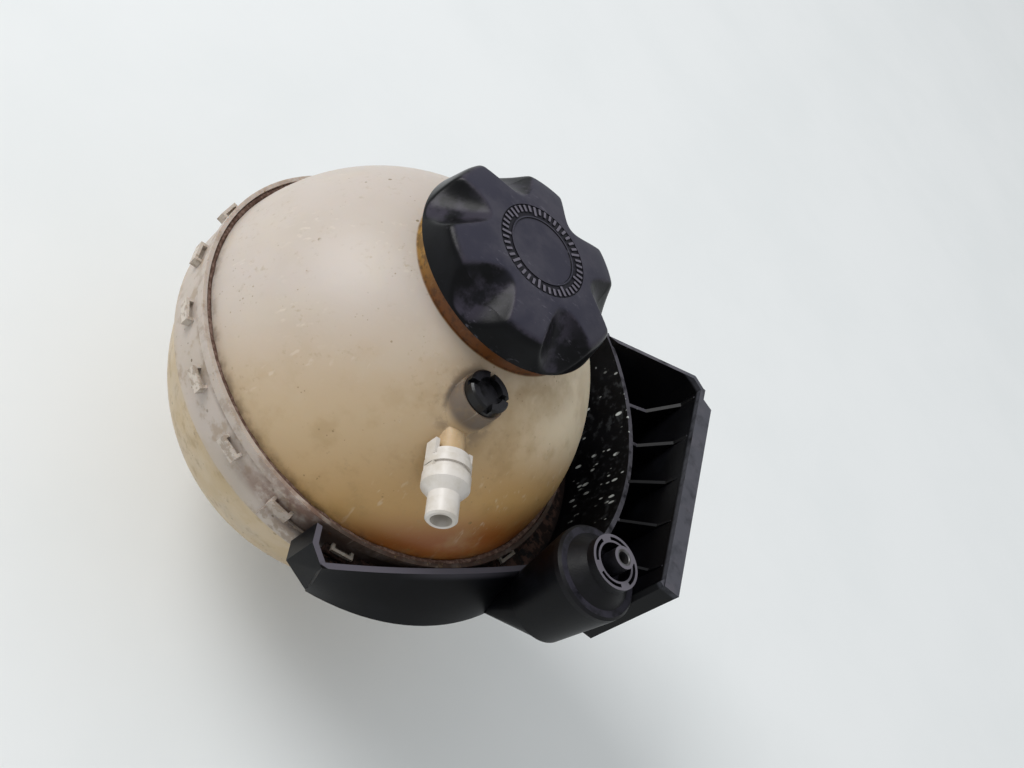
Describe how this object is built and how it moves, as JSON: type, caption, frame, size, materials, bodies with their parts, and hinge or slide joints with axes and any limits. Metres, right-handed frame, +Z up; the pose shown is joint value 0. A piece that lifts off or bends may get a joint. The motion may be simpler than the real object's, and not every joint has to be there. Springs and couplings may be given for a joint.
{
  "type": "coolant expansion tank",
  "caption": "Round plastic coolant tank with a lobed screw cap, bleed screw, side vent connector and a black ribbed holder with a rubber mounting bush.",
  "frame": {"origin": "middle of the mounting sleeve's bore, on its axis", "axes": "+Z up, along the axes of the sleeve and of the cap; +X is the way the holder's flat outer wall faces; +Y is level"},
  "size_m": [0.1985, 0.1729, 0.1811],
  "materials": {
    "tank_upper": "worn satin, stained",
    "tank_lower": "worn satin, dirty",
    "cap_black": "satin, scuffed",
    "insert_black": "satin",
    "seal_rubber": "matt",
    "valve_plastic": "satin",
    "spring_steel": "drawn wire",
    "bleed_black": "satin",
    "fitting_white": "satin, slightly clear",
    "bracket_black": "satin, dusty",
    "bush_rubber": "matt, dusty",
    "sleeve_steel": "dull"
  },
  "bodies": {
    "tank": {"upper_shell": "tank_upper", "lower_shell": "tank_lower", "vent_connector": "fitting_white", "vent_clip": "fitting_white", "vent_seal": "seal_rubber", "bracket": "bracket_black", "rubber_bush": "bush_rubber", "bush_sleeve": "sleeve_steel"},
    "plug": {"valve_insert": "insert_black", "neck_seal": "seal_rubber", "spring_retainer": "valve_plastic", "pressure_spring": "spring_steel"},
    "cap": {"cap_shell": "cap_black"},
    "pressure_disc": {"pressure_valve": "valve_plastic", "pressure_seal": "seal_rubber", "vacuum_spring": "spring_steel"},
    "vacuum_disc": {"vacuum_valve": "valve_plastic", "vacuum_spring_cup": "valve_plastic"},
    "bleed_ring": {"bleed_seal": "seal_rubber"},
    "bleed": {"bleed_screw": "bleed_black"}
  },
  "joints": [
    {"name": "cap_lift", "type": "slide", "parent": "tank", "child": "plug", "axis": [0, 0, 1], "range_m": [0, 0.025]},
    {"name": "cap_turn", "type": "hinge", "parent": "plug", "child": "cap", "pos_m": [-0.083, 0.05105, 0], "axis": [0, 0, 1], "range_deg": [0, 1126]},
    {"name": "pressure_valve_lift", "type": "slide", "parent": "plug", "child": "pressure_disc", "axis": [0, 0, 1], "range_m": [0, 0.003], "stiffness_N_per_m": 2300, "springref_m": -0.012, "deforming": ["pressure_spring"]},
    {"name": "vacuum_valve_drop", "type": "slide", "parent": "pressure_disc", "child": "vacuum_disc", "axis": [0, 0, -1], "range_m": [0, 0.002], "stiffness_N_per_m": 400, "springref_m": -0.002, "deforming": ["vacuum_spring"]},
    {"name": "bleed_lift", "type": "slide", "parent": "tank", "child": "bleed_ring", "axis": [0, 0, 1], "range_m": [0, 0.01]},
    {"name": "bleed_turn", "type": "hinge", "parent": "bleed_ring", "child": "bleed", "pos_m": [-0.0735, 0.00635, 0], "axis": [0, 0, 1], "range_deg": [0, 1441]}
  ],
  "couplings": [
    {"joint": "cap_turn", "follows": "cap_lift", "rad_per_m": 785.4},
    {"joint": "bleed_turn", "follows": "bleed_lift", "rad_per_m": 2513.3}
  ]
}
